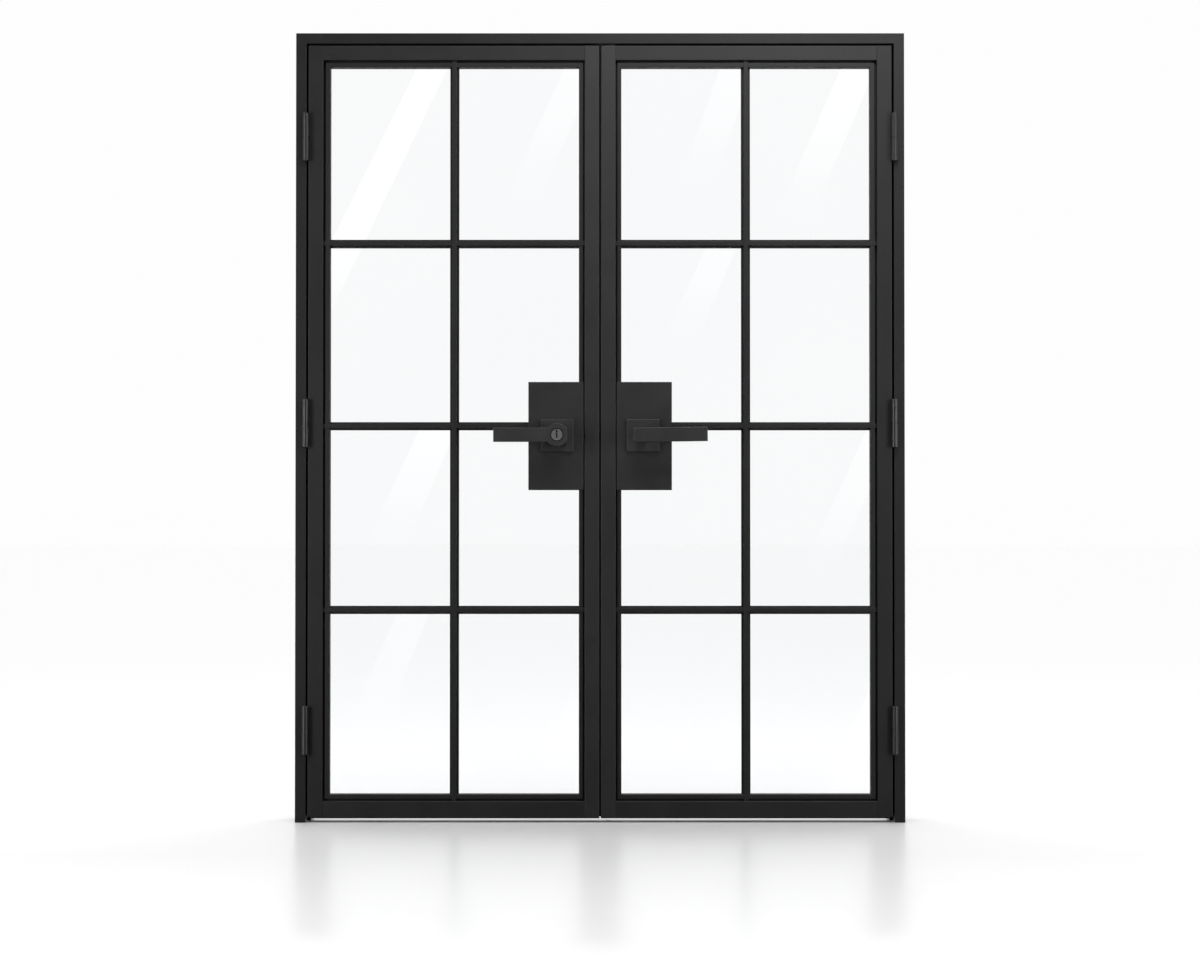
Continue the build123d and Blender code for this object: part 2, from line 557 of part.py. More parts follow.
# right spindle with the crank disc and its two pins, each driving one bolt arm
right_spindle = block(LOCK_X - SQ / 2, LOCK_X + SQ / 2, -SP_END, SP_END, LOCK_Z - SQ / 2, LOCK_Z + SQ / 2)
right_spindle += rod_y(LOCK_X, -2, 2, LOCK_Z, CRANK_R + 3.5)
right_spindle += rod_y(LOCK_X + CRANK_R, 1.5, 7, LOCK_Z, 2.5)
right_spindle += rod_y(LOCK_X - CRANK_R, -7, -1.5, LOCK_Z, 2.5)
write("right_spindle", right_spindle)

# ------------------------------------------------------------- latch (left)
faceplate = block(-MEET - FP_T, -MEET, -FP_W / 2, FP_W / 2, LOCK_Z - FP_L / 2, LOCK_Z + FP_L / 2)
faceplate -= block(-MEET - 3, -MEET + 1, -6.4, 6.4, LOCK_Z - 8.4, LOCK_Z + 8.4)
fscrews = []
for dz in (-22.0, 22.0):
    faceplate -= rod_x(-MEET - 3, -MEET + 1, 0, LOCK_Z + dz, 2.5)
    s = rod_x(-MEET - 12, -MEET - 0.2, 0, LOCK_Z + dz, 2.5)
    s -= block(-MEET - 1.2, -MEET + 1, -0.5, 0.5, LOCK_Z + dz - 4, LOCK_Z + dz + 4)
    fscrews.append(s)
write("latch_faceplate", faceplate)
write("faceplate_screws", fscrews)

TUBE_END = -60.0
latch_case = rod_x(TUBE_END, -MEET - FP_T, 0, LOCK_Z, 12.5) - rod_x(TUBE_END - 1, -MEET, 0, LOCK_Z, 11.0)
# cage behind the tube that guides the retractor, against the box's two faces
cage = block(-147, TUBE_END + 0.5, -15, 15, LOCK_Z - 24, LOCK_Z + 24)
cage -= block(-145, TUBE_END - 1.5, -13, 13, LOCK_Z - 25, LOCK_Z + 25)
cage -= rod_x(TUBE_END - 2, TUBE_END + 2, 0, LOCK_Z, 11.0)
cage -= rod_y(-LOCK_X, -16, 16, LOCK_Z, 7.0)
latch_case += cage
# the small screws' tips pass above and below the tube
write("latch_case", latch_case)

LATCH_Y, LATCH_Z = 6.0, 8.0
nose_pts = [(-34.0, -LATCH_Y), (-MEET, -LATCH_Y), (-MEET, -LATCH_Y + 3.0), (-MEET - 10.5, LATCH_Y), (-34.0, LATCH_Y)]
latch = prism_z(nose_pts, LOCK_Z - LATCH_Z, LOCK_Z + LATCH_Z)
latch += rod_x(-79, -33, 0, LOCK_Z, 3.0)
latch += rod_x(-81, -78, 0, LOCK_Z, 6.0)
write("latch_bolt", latch)

ret = block(-126, -84, -9, 9, LOCK_Z - 12, LOCK_Z + 12)
ret += block(-84.5, -62.0, -9, 9, LOCK_Z - 9, LOCK_Z + 9)
ret -= block(-82.0, -65.0, -7, 7, LOCK_Z - 10, LOCK_Z + 10)
ret -= rod_x(-66, -61, 0, LOCK_Z, 3.6)
ret -= block(-118.5, -93.0, -10, 10, LOCK_Z - 6.3, LOCK_Z + 6.3)
write("latch_retractor", ret)

# ------------------------------------------------ strike, shoot bolts (right)
strike = flip(faceplate)
strike += block(MEET, MEET + FP_T, -8, 8, LOCK_Z - 10, LOCK_Z + 10)
strike -= block(MEET - 1, MEET + 3, -7.0, 7.0, LOCK_Z - 9.0, LOCK_Z + 9.0)
write("strike_plate", strike)
write("strike_screws", [flip(s) for s in fscrews])

seal = block(-0.6, MEET, -14, -8, LEAF_Z0 + 5, LZ1)
write("meeting_seal", seal)

case = block(44, 152, -15, 15, LOCK_Z - 50, LOCK_Z + 50)
case -= block(43, 150, -13, 13, LOCK_Z - 48, LOCK_Z + 48)
case -= rod_y(LOCK_X, -16, 16, LOCK_Z, 7.0)
# keep clear of the box's narrower flange at the stile side
case -= block(43, 47, -16, 16, LOCK_Z - 51, LOCK_Z + 51)
write("gearbox_case", case)

CLR = 0.9
top_rod = rod_z(ROD_X, ROD_Y, LOCK_Z + 18, LZ1, ROD_R)
arm = block(16, 140, 3, 6, LOCK_Z + 18, LOCK_Z + 28)
tab = block(119.5, 140, 3, 6, LOCK_Z - 6, LOCK_Z + 20)
pin_far, pin_near = LOCK_X + CRANK_R, LOCK_X + CRANK_R * math.cos(math.radians(45))
top_rod = top_rod + arm + tab
top_rod -= block(pin_near - 3.0, pin_far + 3.0, 0, 10, LOCK_Z - 2.5 - CLR, LOCK_Z + 2.5 + CLR)
write("top_shoot_bolt", top_rod)

bottom_rod = rod_z(ROD_X, ROD_Y, LEAF_Z0, LOCK_Z - 18, ROD_R)
bottom_rod += block(16, 30, -6, 10, LOCK_Z - 28, LOCK_Z - 18)
bottom_rod += block(16, 104.5, -6, -3, LOCK_Z - 28, LOCK_Z - 18)
bottom_rod += block(85.5, 104.5, -6, -3, LOCK_Z - 28, LOCK_Z + 6)
pin_far, pin_near = LOCK_X - CRANK_R, LOCK_X - CRANK_R * math.cos(math.radians(45))
bottom_rod -= block(pin_far - 3.0, pin_near + 3.0, -10, 0, LOCK_Z - 2.5 - CLR, LOCK_Z + 2.5 + CLR)
write("bottom_shoot_bolt", bottom_rod)

guides = []
for z0, z1 in ((LZ1 - WALL - 20, LZ1 - WALL), (LEAF_Z0 + WALL, LEAF_Z0 + WALL + 20)):
    g = rod_z(ROD_X, ROD_Y, z0, z1, 9.0) - rod_z(ROD_X, ROD_Y, z0 - 1, z1 + 1, ROD_R + 0.08)
    guides.append(g)
write("rod_guides", guides)
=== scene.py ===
import math
import random

import bmesh
import bpy
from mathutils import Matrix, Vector


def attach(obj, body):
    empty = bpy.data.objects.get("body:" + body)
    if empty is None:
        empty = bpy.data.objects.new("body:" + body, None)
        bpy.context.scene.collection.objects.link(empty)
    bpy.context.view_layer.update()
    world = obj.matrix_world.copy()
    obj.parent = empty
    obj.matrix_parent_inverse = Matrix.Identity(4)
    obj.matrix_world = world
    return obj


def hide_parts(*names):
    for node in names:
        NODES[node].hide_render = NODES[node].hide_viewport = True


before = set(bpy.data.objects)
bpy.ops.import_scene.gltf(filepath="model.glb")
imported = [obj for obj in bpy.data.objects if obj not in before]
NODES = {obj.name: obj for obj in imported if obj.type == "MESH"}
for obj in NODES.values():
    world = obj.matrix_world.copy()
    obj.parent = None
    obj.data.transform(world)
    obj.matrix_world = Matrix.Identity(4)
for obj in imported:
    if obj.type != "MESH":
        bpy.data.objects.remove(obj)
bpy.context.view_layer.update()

scene = bpy.context.scene


# ---------------------------------------------------------------- node helpers
class Graph:
    """A material's node tree with short calls for the nodes used here."""

    def __init__(self, name):
        self.mat = bpy.data.materials.new(name)
        self.mat.use_nodes = True
        self.nt = self.mat.node_tree
        self.nt.nodes.clear()
        self.out = self.nt.nodes.new("ShaderNodeOutputMaterial")
        self.bsdf = self.nt.nodes.new("ShaderNodeBsdfPrincipled")
        self.nt.links.new(self.bsdf.outputs["BSDF"], self.out.inputs["Surface"])
        self.coord = self.nt.nodes.new("ShaderNodeTexCoord").outputs["Object"]

    def node(self, kind, **values):
        n = self.nt.nodes.new(kind)
        for k, v in values.items():
            setattr(n, k, v)
        return n

    def link(self, a, b):
        self.nt.links.new(a, b)

    def scaled(self, x, y, z):
        m = self.node("ShaderNodeMapping")
        m.inputs["Scale"].default_value = (x, y, z)
        self.link(self.coord, m.inputs["Vector"])
        return m.outputs["Vector"]

    def noise(self, scale, detail=3.0, rough=0.5, vector=None, distortion=0.0):
        n = self.node("ShaderNodeTexNoise")
        n.inputs["Scale"].default_value = scale
        n.inputs["Detail"].default_value = detail
        n.inputs["Roughness"].default_value = rough
        n.inputs["Distortion"].default_value = distortion
        self.link(vector if vector is not None else self.coord, n.inputs["Vector"])
        return n.outputs["Fac"]

    def cells(self, scale, vector=None, feature="F1"):
        n = self.node("ShaderNodeTexVoronoi", feature=feature)
        n.inputs["Scale"].default_value = scale
        self.link(vector if vector is not None else self.coord, n.inputs["Vector"])
        return n.outputs["Distance"]

    def spread(self, value, a, b, low, high):
        """Maps value from a..b to low..high, clamped."""
        n = self.node("ShaderNodeMapRange")
        n.inputs["From Min"].default_value = a
        n.inputs["From Max"].default_value = b
        n.inputs["To Min"].default_value = low
        n.inputs["To Max"].default_value = high
        self.link(value, n.inputs["Value"])
        return n.outputs["Result"]

    def math(self, op, a, b):
        n = self.node("ShaderNodeMath", operation=op)
        for i, v in enumerate((a, b)):
            if isinstance(v, (int, float)):
                n.inputs[i].default_value = v
            else:
                self.link(v, n.inputs[i])
        return n.outputs["Value"]

    def blend(self, fac, c0, c1):
        n = self.node("ShaderNodeMix", data_type="RGBA")
        for name, v in (("A", c0), ("B", c1)):
            sock = [s for s in n.inputs if s.name == name and s.type == "RGBA"][0]
            if isinstance(v, tuple):
                sock.default_value = (*v, 1.0)
            else:
                self.link(v, sock)
        if isinstance(fac, (int, float)):
            n.inputs["Factor"].default_value = fac
        else:
            self.link(fac, n.inputs["Factor"])
        return [s for s in n.outputs if s.type == "RGBA"][0]

    def bump(self, height, strength, distance, under=None):
        n = self.node("ShaderNodeBump")
        n.inputs["Strength"].default_value = strength
        n.inputs["Distance"].default_value = distance
        self.link(height, n.inputs["Height"])
        if under is not None:
            self.link(under, n.inputs["Normal"])
        return n.outputs["Normal"]

    def set(self, **values):
        for k, v in values.items():
            sock = self.bsdf.inputs[k.replace("_", " ")]
            if hasattr(v, "is_output"):
                self.link(v, sock)
            else:
                sock.default_value = (*v, 1.0) if isinstance(v, tuple) and len(v) == 3 else v


def level(s):
    """A display grey or colour channel, 0..255, as a linear value."""
    s = s / 255.0
    return s / 12.92 if s <= 0.04045 else ((s + 0.055) / 1.055) ** 2.4


def shade(r, g=None, b=None):
    return (level(r), level(r if g is None else g), level(r if b is None else b))


# ------------------------------------------------------------------- materials
def powder_coat(name, tone, rough, spec, grain=620.0, peel=120.0, depth=0.16):
    """Satin powder coat: a faint cloudy tone, fine pebbling and the soft
    orange peel under it, with slightly duller places."""
    g = Graph(name)
    cloud = g.noise(2.3, 3.0, 0.55)
    speck = g.noise(grain * 0.9, 2.0, 0.6)
    dark = tuple(c * 0.82 for c in tone)
    light = tuple(c * 1.20 for c in tone)
    base = g.blend(g.spread(cloud, 0.35, 0.65, 0.0, 1.0), dark, light)
    fleck = g.spread(speck, 0.62, 0.78, 0.0, 0.35)
    base = g.blend(fleck, base, tuple(min(1.0, c * 2.0 + 0.004) for c in tone))
    hand = g.noise(9.0, 4.0, 0.6, distortion=0.6)
    dull = g.math("ADD", g.spread(hand, 0.35, 0.68, -0.035, 0.045), rough)
    fine = g.noise(grain, 2.0, 0.55)
    wavy = g.noise(peel, 2.0, 0.5)
    n = g.bump(wavy, depth * 0.55, 0.00022)
    n = g.bump(fine, depth, 0.00006, n)
    g.set(Base_Color=base, Roughness=dull, Metallic=0.0, Normal=n)
    g.set(Specular_IOR_Level=spec)
    return g.mat


def worn_steel(name, tone, rough, along="x", metallic=1.0, mottled=False):
    """Bare or plated steel: drawn lines along one axis, or plating spangle."""
    g = Graph(name)
    stretch = {"x": (12.0, 900.0, 900.0), "y": (900.0, 12.0, 900.0), "z": (900.0, 900.0, 12.0)}[along]
    lines = g.noise(1.0, 4.0, 0.6, g.scaled(*stretch))
    cloud = g.noise(28.0, 3.0, 0.5)
    a = tuple(c * 0.72 for c in tone)
    b = tuple(min(1.0, c * 1.15) for c in tone)
    if mottled:
        spangle = g.cells(330.0)
        base = g.blend(g.spread(spangle, 0.1, 0.8, 0.0, 1.0), b, a)
    else:
        base = g.blend(g.spread(lines, 0.3, 0.7, 0.0, 1.0), a, b)
    base = g.blend(g.spread(cloud, 0.4, 0.7, 0.0, 0.35), base, a)
    dull = g.math("ADD", g.spread(lines, 0.3, 0.7, -0.07, 0.08), rough)
    n = g.bump(lines, 0.12, 0.00004)
    g.set(Base_Color=base, Roughness=dull, Metallic=metallic, Normal=n)
    return g.mat


def soft_black(name, tone, rough, spec, grain):
    """Moulded rubber or nylon: even black with a fine matt grain."""
    g = Graph(name)
    cloud = g.noise(14.0, 3.0, 0.6)
    fine = g.noise(grain, 3.0, 0.6)
    base = g.blend(g.spread(cloud, 0.35, 0.65, 0.0, 1.0),
                   tuple(c * 0.7 for c in tone), tuple(c * 1.35 for c in tone))
    dull = g.math("ADD", g.spread(fine, 0.3, 0.7, -0.06, 0.06), rough)
    g.set(Base_Color=base, Roughness=dull, Normal=g.bump(fine, 0.3, 0.00008))
    g.set(Specular_IOR_Level=spec)
    return g.mat


def pane_glass(name):
    """Clear float glass with a trace of cool tint and barely uneven faces."""
    g = Graph(name)
    tint = g.noise(1.1, 2.0, 0.5)
    base = g.blend(g.spread(tint, 0.35, 0.65, 0.0, 1.0), (0.978, 0.988, 0.996), (0.988, 0.994, 0.999))
    smear = g.noise(7.0, 4.0, 0.6, distortion=0.8)
    g.set(Base_Color=base, Roughness=g.spread(smear, 0.55, 0.8, 0.0, 0.01), Metallic=0.0)
    g.set(IOR=1.45)
    g.set(Transmission_Weight=1.0)
    g.set(Specular_IOR_Level=0.5)
    return g.mat


def plug_metal(name, tone, rough, front):
    """Satin nickel plug face with a turned sheen. Everything deeper than the
    face, the walls of the keyway, is painted near black as painted shade."""
    g = Graph(name)
    lines = g.noise(1.0, 3.0, 0.6, g.scaled(1500.0, 60.0, 60.0))
    cloud = g.noise(180.0, 3.0, 0.6)
    a = tuple(c * 0.80 for c in tone)
    b = tuple(c * 1.15 for c in tone)
    face = g.blend(g.spread(lines, 0.3, 0.7, 0.0, 1.0), a, b)
    face = g.blend(g.spread(cloud, 0.35, 0.70, 0.0, 0.4), face, a)
    sep = g.node("ShaderNodeSeparateXYZ")
    g.link(g.coord, sep.inputs["Vector"])
    # painted shade: the keyway walls behind the plug face are painted near black and made non-metallic
    keyway_painted_shade = g.spread(sep.outputs["Y"], front + 0.0005, front + 0.0011, 0.0, 1.0)
    base = g.blend(keyway_painted_shade, face, (0.0015, 0.0015, 0.0015))
    g.set(Base_Color=base, Roughness=g.math("ADD", g.spread(lines, 0.3, 0.7, -0.05, 0.07), rough),
          Metallic=g.math("SUBTRACT", 0.65, g.math("MULTIPLY", keyway_painted_shade, 0.65)), Normal=g.bump(lines, 0.10, 0.00003))
    g.set(Specular_IOR_Level=0.2)
    return g.mat


PLUG_FRONT = min(v.co.y for v in NODES["key_plug"].data.vertices)

M = {
    # painted shade: the frame gets a darker copy of the leaf powder coat, tone 12 and less sheen
    "frame_paint": powder_coat("frame_powder_coat_shaded_copy", shade(12, 12, 13), 0.56, 0.44),
    "leaf_paint": powder_coat("leaf_powder_coat", shade(13, 13, 14), 0.56, 0.50),
    # painted light: the meeting stiles get a lighter copy of the leaf powder coat, tone 16 and more sheen, to
    # brighten the centre of the doors
    "stile_paint_lit_copy": powder_coat("meeting_stile_powder_coat_lit_copy", shade(16, 16, 17), 0.56, 0.66),
    "rail_paint": powder_coat("rail_powder_coat", shade(13, 13, 14), 0.56, 0.54),
    # painted light: the lock boxes get a lighter copy of the leaf powder coat, tone 18 and more sheen
    "box_paint_lit_copy": powder_coat("lock_box_powder_coat_lit_copy", shade(18, 18, 18), 0.56, 0.66),
    "hardware_paint": powder_coat("hardware_satin_black", shade(24, 24, 25), 0.52, 0.80, grain=900.0, depth=0.10),
    "hinge_paint": powder_coat("hinge_satin_black", shade(22, 21, 21), 0.44, 0.62, grain=800.0, depth=0.12),
    "bead_paint": powder_coat("glazing_bead_powder_coat", shade(12, 12, 13), 0.56, 0.48),
    "threshold_metal": worn_steel("mill_aluminium", (0.55, 0.55, 0.56), 0.38, "x"),
    "seal_rubber": soft_black("seal_rubber", (0.010, 0.010, 0.010), 0.82, 0.25, 1500.0),
    "pane_glass": pane_glass("clear_float_glass"),
    "zinc_steel": worn_steel("zinc_plated_steel", (0.52, 0.53, 0.54), 0.36, "z", mottled=True),
    "satin_steel": worn_steel("satin_stainless_steel", (0.50, 0.49, 0.48), 0.32, "z"),
    "key_metal": worn_steel("nickel_key_plug", (0.26, 0.26, 0.265), 0.46, "x", metallic=0.6),
    "plug_metal": plug_metal("key_plug_face", (0.24, 0.24, 0.245), 0.46, PLUG_FRONT),
    "cylinder_black": powder_coat("cylinder_black", shade(20, 20, 21), 0.38, 0.35, grain=1200.0, depth=0.08),
    "black_nylon": soft_black("black_nylon", (0.014, 0.014, 0.014), 0.5, 0.4, 900.0),
    "black_screws": powder_coat("black_oxide_screws", shade(30, 30, 31), 0.44, 0.5, grain=1500.0, depth=0.08),
}

FINISH = {
    "left_jamb": "frame_paint", "right_jamb": "frame_paint", "head_jamb": "frame_paint",
    "threshold": "threshold_metal", "frame_seal": "seal_rubber",
    "frame_hinge_halves": "hinge_paint", "hinge_pins": "satin_steel", "hinge_washers": "black_nylon",
    "head_keeper": "zinc_steel",
    "left_spindle": "zinc_steel", "right_spindle": "zinc_steel",
    "cylinder_housing": "cylinder_black", "key_plug": "plug_metal", "turn_button": "hardware_paint",
    "latch_retractor": "zinc_steel", "latch_bolt": "satin_steel", "latch_case": "cylinder_black",
    "latch_faceplate": "satin_steel", "strike_plate": "satin_steel",
    "faceplate_screws": "black_screws", "strike_screws": "black_screws",
    "gearbox_case": "zinc_steel", "rod_guides": "black_nylon",
    "top_shoot_bolt": "satin_steel", "bottom_shoot_bolt": "satin_steel",
    "meeting_seal": "seal_rubber",
}
for side in ("left", "right"):
    for part in ("hinge_stile", "vertical_bar", "cross_bars", "glazing_stops"):
        FINISH[f"{side}_{part}"] = "leaf_paint"
    FINISH[f"{side}_lock_stile"] = "stile_paint_lit_copy"
    FINISH[f"{side}_top_rail"] = "rail_paint"
    FINISH[f"{side}_bottom_rail"] = "rail_paint"
    FINISH[f"{side}_glazing_beads"] = "bead_paint"
    FINISH[f"{side}_lock_box"] = "box_paint_lit_copy"
    FINISH[f"{side}_bead_screws"] = "black_screws"
    FINISH[f"{side}_glass_panes"] = "pane_glass"
    FINISH[f"{side}_bottom_sweep"] = "seal_rubber"
    FINISH[f"{side}_leaf_hinge_halves"] = "hinge_paint"
    for part in ("outside_rose", "inside_rose", "outside_lever", "inside_lever"):
        FINISH[f"{side}_{part}"] = "hardware_paint"

for name, obj in NODES.items():
    mat = M[FINISH[name]]
    slots = obj.data.materials
    if len(slots):
        for i in range(len(slots)):
            slots[i] = mat
    else:
        slots.append(mat)


# --------------------------------------------------------------- meeting seal
def brush_strip():
    """The brush between the two leaves: a pinched steel channel, a thin centre
    fin and a row of fine tapered tufts that close the 5 mm meeting gap."""
    rng = random.Random(11)
    bm = bmesh.new()
    z0, z1 = 0.0147, 2.0281
    yc = -0.011

    # channel, an open C with its back on the strike side's stile
    prof = [(0.0025, -0.0138), (0.0002, -0.0138), (-0.0001, -0.0132), (-0.0001, -0.0121),
            (0.0003, -0.0121), (0.0003, -0.0130), (0.0018, -0.0130), (0.0018, -0.0090),
            (0.0003, -0.0090), (0.0003, -0.0099), (-0.0001, -0.0099), (-0.0001, -0.0088),
            (0.0002, -0.0082), (0.0025, -0.0082)]
    low = [bm.verts.new((x, y, z0)) for x, y in prof]
    high = [bm.verts.new((x, y, z1)) for x, y in prof]
    n = len(prof)
    for i in range(n):
        j = (i + 1) % n
        bm.faces.new((low[i], low[j], high[j], high[i]))
    bm.faces.new(list(reversed(low)))
    bm.faces.new(high)

    # thin fin in the middle of the pile
    fin = [(0.0017, yc - 0.00014), (-0.0023, yc - 0.00010), (-0.00249, yc),
           (-0.0023, yc + 0.00010), (0.0017, yc + 0.00014)]
    low = [bm.verts.new((x, y, z0 + 0.0004)) for x, y in fin]
    high = [bm.verts.new((x, y, z1 - 0.0004)) for x, y in fin]
    for i in range(len(fin)):
        j = (i + 1) % len(fin)
        bm.faces.new((low[i], low[j], high[j], high[i]))
    bm.faces.new(list(reversed(low)))
    bm.faces.new(high)

    # two staggered rows of tufts
    pitch = 0.0036
    count = int((z1 - z0 - 0.003) / pitch)
    for row, y in enumerate((yc - 0.00095, yc + 0.00095)):
        for k in range(count):
            z = z0 + 0.0018 + pitch * (k + 0.5 * row)
            reach = -0.00248 + rng.uniform(0.0, 0.00035)
            lean = rng.uniform(-0.0003, 0.0003)
            rings = []
            for x, ry, rz, dz in ((0.0016, 0.00055, 0.0014, 0.0),
                                  (0.0001, 0.00070, 0.0018, 0.3 * lean),
                                  (reach + 0.0007, 0.00062, 0.0019, 0.8 * lean),
                                  (reach, 0.00030, 0.0011, lean)):
                ring = []
                for a in range(6):
                    t = math.tau * a / 6
                    ring.append(bm.verts.new((x, y + ry * math.cos(t), z + dz + rz * math.sin(t))))
                rings.append(ring)
            for r0, r1 in zip(rings, rings[1:]):
                for a in range(6):
                    b = (a + 1) % 6
                    bm.faces.new((r0[a], r0[b], r1[b], r1[a]))
            bm.faces.new(list(reversed(rings[0])))
            bm.faces.new(rings[-1])
    bmesh.ops.recalc_face_normals(bm, faces=bm.faces)
    me = bpy.data.meshes.new("meeting_brush")
    bm.to_mesh(me)
    bm.free()
    o = bpy.data.objects.new("meeting_brush", me)
    scene.collection.objects.link(o)
    me.materials.append(M["seal_rubber"])
    return o


brush = brush_strip()
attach(brush, "right_leaf")
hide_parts("meeting_seal")


# ----------------------------------------------------------------------- stage
def mesh_object(name, verts, faces, mat, smooth=False):
    me = bpy.data.meshes.new(name)
    me.from_pydata(verts, [], faces)
    me.materials.append(mat)
    o = bpy.data.objects.new(name, me)
    scene.collection.objects.link(o)
    if smooth:
        me.shade_smooth()
    return o


g = Graph("studio_floor")
# painted light: paler over the last 0.6 m in front of the doors, lifting the shade at their foot, and paler again
# behind them, fading the floor into the white background
sep = g.node("ShaderNodeSeparateXYZ")
g.link(g.coord, sep.inputs["Vector"])
worn = g.blend(g.spread(g.noise(0.7, 3.0, 0.5), 0.35, 0.65, 0.0, 1.0), (0.86, 0.86, 0.86), (0.88, 0.88, 0.88))
near_door_painted_light = g.blend(g.spread(sep.outputs["Y"], -0.62, -0.05, 0.0, 1.0), worn, (0.96, 0.96, 0.96))
# polished round the doors only, so that the lamps aren't mirrored farther out
out = g.node("ShaderNodeVectorMath", operation="LENGTH")
g.link(g.coord, out.inputs[0])
dull = g.spread(out.outputs["Value"], 1.75, 2.7, 0.0, 0.7)
# painted light: the floor grows paler from 0.15 m to 1.6 m behind the doors
g.set(Base_Color=g.blend(g.spread(sep.outputs["Y"], 0.15, 1.6, 0.0, 1.0), near_door_painted_light, (0.985, 0.985, 0.985)),
      Roughness=g.math("ADD", dull, g.spread(g.noise(3.0, 3.0, 0.5), 0.35, 0.65, 0.286, 0.294)))
g.set(IOR=1.27)
R = 60.0
ring = [(R * math.cos(math.tau * k / 96), R * math.sin(math.tau * k / 96), -0.0004) for k in range(96)]
floor = mesh_object("studio_floor", ring, [tuple(range(96))], g.mat)
floor.visible_glossy = False


# Long soft lamps far in front of the doors. They aren't seen by the camera, only
# as slanting streaks in the panes and as light on the paint.
CAM_Y, CAM_Z = -6.42, 0.80


def card(name, corners, strength, fade):
    """A slanting light panel. corners are where its mirror image lies on the
    panes (x, z), in metres, top left, top right, bottom right, bottom left."""
    depth = 8.0
    k = 1.0 + depth / -CAM_Y
    pts = [(x * k, -depth, CAM_Z + (z - CAM_Z) * k) for x, z in corners]
    m = bpy.data.materials.new(name)
    m.use_nodes = True
    nt = m.node_tree
    nt.nodes.clear()
    out = nt.nodes.new("ShaderNodeOutputMaterial")
    em = nt.nodes.new("ShaderNodeEmission")
    clear = nt.nodes.new("ShaderNodeBsdfTransparent")
    mix = nt.nodes.new("ShaderNodeMixShader")
    uv = nt.nodes.new("ShaderNodeUVMap")
    sep = nt.nodes.new("ShaderNodeSeparateXYZ")
    nt.links.new(uv.outputs["UV"], sep.inputs["Vector"])

    def ramp(sock, a, b):
        r = nt.nodes.new("ShaderNodeMapRange")
        r.interpolation_type = "SMOOTHSTEP"
        r.inputs["From Min"].default_value = a
        r.inputs["From Max"].default_value = b
        nt.links.new(sock, r.inputs["Value"])
        return r.outputs["Result"]

    def times(a, b):
        n = nt.nodes.new("ShaderNodeMath")
        n.operation = "MULTIPLY"
        nt.links.new(a, n.inputs[0])
        nt.links.new(b, n.inputs[1])
        return n.outputs["Value"]

    v, u = sep.outputs["Y"], sep.outputs["X"]
    fac = times(ramp(v, 0.0, fade), times(ramp(u, 0.0, 0.04), ramp(u, 1.0, 0.96)))
    em.inputs["Strength"].default_value = strength
    nt.links.new(fac, mix.inputs["Fac"])
    nt.links.new(clear.outputs["BSDF"], mix.inputs[1])
    nt.links.new(em.outputs["Emission"], mix.inputs[2])
    nt.links.new(mix.outputs["Shader"], out.inputs["Surface"])
    o = mesh_object(name, pts, [(0, 1, 2, 3)], m)
    layer = o.data.uv_layers.new(name="UVMap")
    for i, c in enumerate(((0, 1), (1, 1), (1, 0), (0, 0))):
        layer.data[i].uv = c
    o.visible_camera = False
    o.visible_diffuse = False
    o.visible_shadow = False
    o.visible_transmission = False
    return o


def lamp(name, corners, strength, veil=False):
    """A plain soft box, four corners in metres. It lights the satin paint by
    reflection and stays out of the camera's sight. A veil lets what is behind
    it shine through."""
    m = bpy.data.materials.new(name)
    m.use_nodes = True
    nt = m.node_tree
    nt.nodes.clear()
    out = nt.nodes.new("ShaderNodeOutputMaterial")
    em = nt.nodes.new("ShaderNodeEmission")
    em.inputs["Strength"].default_value = strength
    if veil:
        add = nt.nodes.new("ShaderNodeAddShader")
        nt.links.new(em.outputs["Emission"], add.inputs[0])
        nt.links.new(nt.nodes.new("ShaderNodeBsdfTransparent").outputs["BSDF"], add.inputs[1])
        nt.links.new(add.outputs["Shader"], out.inputs["Surface"])
    else:
        nt.links.new(em.outputs["Emission"], out.inputs["Surface"])
    o = mesh_object(name, corners, [(0, 1, 2, 3)], m)
    o.visible_camera = False
    o.visible_diffuse = False
    o.visible_shadow = False
    o.visible_transmission = False
    return o


lamp("left_lamp", [(-3.40, -1.90, 0.0), (-2.75, -2.75, 0.0), (-2.75, -2.75, 2.3), (-3.40, -1.90, 2.3)], 10.5)
lamp("right_lamp", [(2.75, -2.75, 0.0), (3.40, -1.90, 0.0), (3.40, -1.90, 2.3), (2.75, -2.75, 2.3)], 9.5)
lamp("top_lamp", [(0.00, -1.55, 2.85), (1.30, -1.55, 2.85), (1.30, -1.05, 3.10), (0.00, -1.05, 3.10)], 14.5)
roof = lamp("roof_lamp", [(-3.0, -5.0, 4.0), (3.0, -5.0, 4.0), (3.0, -0.6, 4.0), (-3.0, -0.6, 4.0)], 1.0, veil=True)
roof.visible_diffuse = True
roof.visible_glossy = False


def px(x, y):
    """A point of the 1200 x 960 frame on the panes' plane, in metres."""
    return ((x - 600.0) * 0.002607, (822.0 - y) * 0.002607)


STREAKS = [
    # name, corners in the frame, strength, share of the length that fades
    ("streak_1", ((418, 60), (450, 60), (314, 345), (283, 335)), 2.2, 0.45),
    ("streak_2", ((566, 60), (600, 60), (530, 220), (494, 220)), 1.2, 0.9),
    ("streak_3", ((722, 60), (756, 60), (710, 200), (672, 200)), 1.3, 0.9),
    ("streak_4", ((844, 60), (880, 60), (808, 230), (770, 230)), 1.8, 0.85),
    ("streak_5", ((418, 428), (457, 428), (400, 560), (358, 560)), 1.5, 0.9),
    ("streak_6", ((398, 609), (431, 609), (382, 735), (342, 735)), 1.2, 0.9),
    ("streak_7", ((880, 400), (912, 400), (815, 615), (783, 615)), 1.3, 0.9),
    ("streak_8", ((880, 660), (930, 660), (880, 800), (826, 800)), 1.1, 0.25),
    ("streak_9", ((706, 246), (738, 246), (694, 350), (658, 350)), 1.2, 0.9),
    ("streak_10", ((572, 690), (602, 690), (556, 800), (522, 800)), 0.5, 0.9),
]
for name, corners, strength, fade in STREAKS:
    card(name, [px(*c) for c in corners], strength, fade)


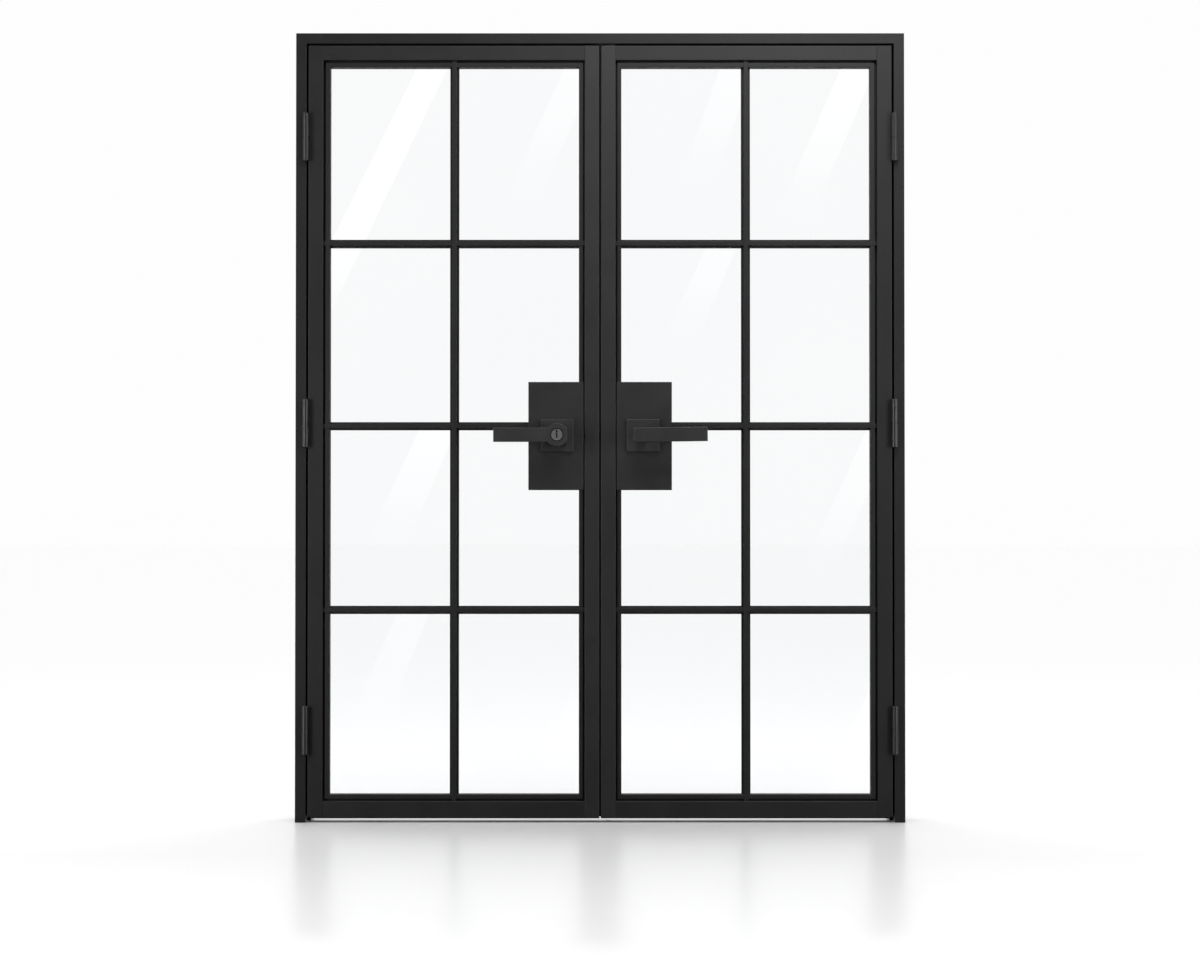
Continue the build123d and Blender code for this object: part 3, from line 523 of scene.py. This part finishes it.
# ----------------------------------------------------------------------- world
world = bpy.data.worlds.new("soft_studio")
scene.world = world
world.use_nodes = True
nt = world.node_tree
nt.nodes.clear()
w_out = nt.nodes.new("ShaderNodeOutputWorld")
w_bg = nt.nodes.new("ShaderNodeBackground")
nt.links.new(w_bg.outputs["Background"], w_out.inputs["Surface"])
direction = nt.nodes.new("ShaderNodeTexCoord").outputs["Generated"]
split = nt.nodes.new("ShaderNodeSeparateXYZ")
nt.links.new(direction, split.inputs["Vector"])


def w_range(value, a, b, low, high, smooth=True):
    n = nt.nodes.new("ShaderNodeMapRange")
    n.interpolation_type = "SMOOTHSTEP" if smooth else "LINEAR"
    n.inputs["From Min"].default_value = a
    n.inputs["From Max"].default_value = b
    n.inputs["To Min"].default_value = low
    n.inputs["To Max"].default_value = high
    nt.links.new(value, n.inputs["Value"])
    return n.outputs["Result"]


def w_mix(fac, a, b):
    n = nt.nodes.new("ShaderNodeMix")
    n.data_type = "FLOAT"
    for s, v in ((n.inputs["Factor"], fac), (n.inputs["A"], a), (n.inputs["B"], b)):
        if isinstance(v, (int, float)):
            s.default_value = v
        else:
            nt.links.new(v, s)
    return n.outputs["Result"]


def w_dot(v):
    n = nt.nodes.new("ShaderNodeVectorMath")
    n.operation = "DOT_PRODUCT"
    nt.links.new(direction, n.inputs[0])
    n.inputs[1].default_value = Vector(v).normalized()
    return n.outputs["Value"]


def w_max(a, b):
    n = nt.nodes.new("ShaderNodeMath")
    n.operation = "MAXIMUM"
    nt.links.new(a, n.inputs[0])
    nt.links.new(b, n.inputs[1])
    return n.outputs["Value"]


def w_op(op, a, b):
    n = nt.nodes.new("ShaderNodeMath")
    n.operation = op
    for i, v in enumerate((a, b)):
        if isinstance(v, (int, float)):
            n.inputs[i].default_value = v
        else:
            nt.links.new(v, n.inputs[i])
    return n.outputs["Value"]


WHITE = 0.988
# a dark room in front of the doors; the lamps in it are the panels above
lamps = w_range(split.outputs["Z"], -0.25, 0.45, 0.0, 0.05)
front = w_range(split.outputs["Y"], 0.20, -0.20, 0.0, 1.0)
sides = w_mix(front, WHITE, lamps)
rise = w_mix(front, w_range(split.outputs["Z"], 0.30, 0.70, 0.0, 1.0), w_range(split.outputs["Z"], 0.72, 0.95, 0.0, 1.0))
sky = w_mix(rise, sides, 1.6)
ray = nt.nodes.new("ShaderNodeLightPath")
straight = w_max(ray.outputs["Is Camera Ray"], ray.outputs["Is Transmission Ray"])
total = w_mix(straight, sky, WHITE)
nt.links.new(total, w_bg.inputs["Strength"])
w_bg.inputs["Color"].default_value = (1.0, 1.0, 1.0, 1.0)

scene.view_settings.view_transform = "Standard"
scene.view_settings.look = "None"


# ---------------------------------------------------------------------- camera
cam_data = bpy.data.cameras.new("camera")
cam = bpy.data.objects.new("camera", cam_data)
scene.collection.objects.link(cam)
cam.location = (-0.0003, CAM_Y, CAM_Z)
cam.rotation_euler = (math.radians(90.823), 0.0, 0.0)
cam_data.sensor_fit = "HORIZONTAL"
cam_data.sensor_width = 36.0
cam_data.lens = 73.6
cam_data.clip_start = 0.05
cam_data.clip_end = 200.0
cam_data.dof.use_dof = False
scene.camera = cam

# ------------------------------------------------------------------------ update
bpy.context.view_layer.update()
